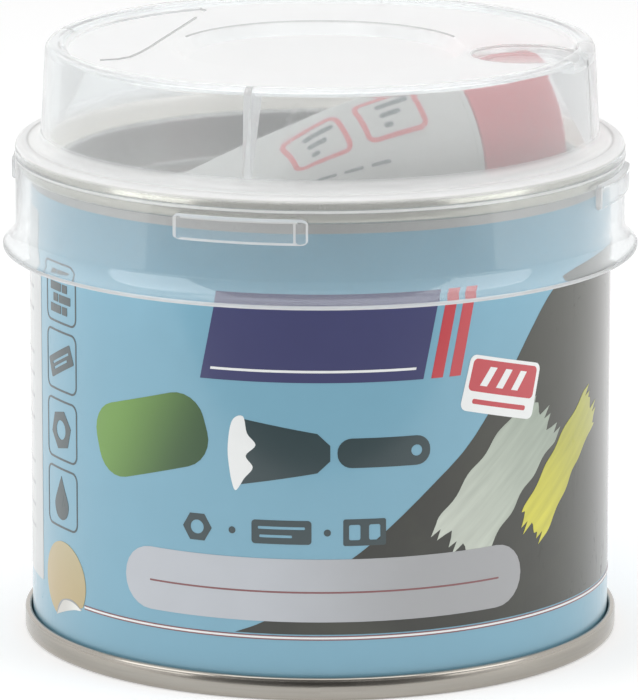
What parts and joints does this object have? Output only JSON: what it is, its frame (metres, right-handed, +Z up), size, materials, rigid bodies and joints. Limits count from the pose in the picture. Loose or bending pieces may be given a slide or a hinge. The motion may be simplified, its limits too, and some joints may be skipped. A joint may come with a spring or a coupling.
{
  "type": "two-component filler tin",
  "caption": "Round seamed tin of filler with a lever lid, a hardener tube lying on the lid and a clear push-on mixing cap with a dish and a measuring cup.",
  "frame": {"origin": "centre of the bottom seam, on the plane the tin stands on", "axes": "+Z up along the tin's axis, front of the print towards -Y, +X to the right seen from the front"},
  "size_m": [0.0908, 0.0908, 0.0857],
  "materials": {
    "printed_tin": "printed and varnished tinplate, satin gloss",
    "bare_tin": "bright tinplate with fine rolling lines",
    "lid_tin": "lacquered tinplate",
    "seam_compound": "matte",
    "filler": "thick smooth paste",
    "clear_plastic": "clear, slightly milky moulded plastic",
    "tube_white": "soft white plastic, satin",
    "tube_red": "moulded, satin",
    "foil": "bright foil",
    "hardener": "smooth paste"
  },
  "bodies": {
    "tin": {"tin_body": "printed_tin", "bottom_end": "bare_tin", "bottom_seam_seal": "seam_compound", "top_ring": "bare_tin", "top_seam_seal": "seam_compound", "filler_paste": "filler"},
    "lid": {"lever_lid": "lid_tin"},
    "tube": {"tube_sleeve": "tube_white", "tube_head": "tube_white", "tube_seal": "foil", "hardener_paste": "hardener"},
    "screw_cap": {"tube_cap": "tube_red"},
    "cap": {"mixing_cap": "clear_plastic"}
  },
  "joints": [
    {"name": "lid_lift", "type": "slide", "parent": "tin", "child": "lid", "axis": [0, 0, 1], "range_m": [0, 0.03]},
    {"name": "tube_lift", "type": "slide", "parent": "lid", "child": "tube", "axis": [0, 0, 1], "range_m": [0, 0.03]},
    {"name": "screw_cap_turn", "type": "hinge", "parent": "tube", "child": "screw_cap", "pos_m": [0.02021, 0.00135, 0.07146], "axis": [0.9314, 0.3099, 0.1908], "range_deg": [0, 540]},
    {"name": "cap_lift", "type": "slide", "parent": "tube", "child": "cap", "axis": [0, 0, 1], "range_m": [0, 0.04]}
  ]
}
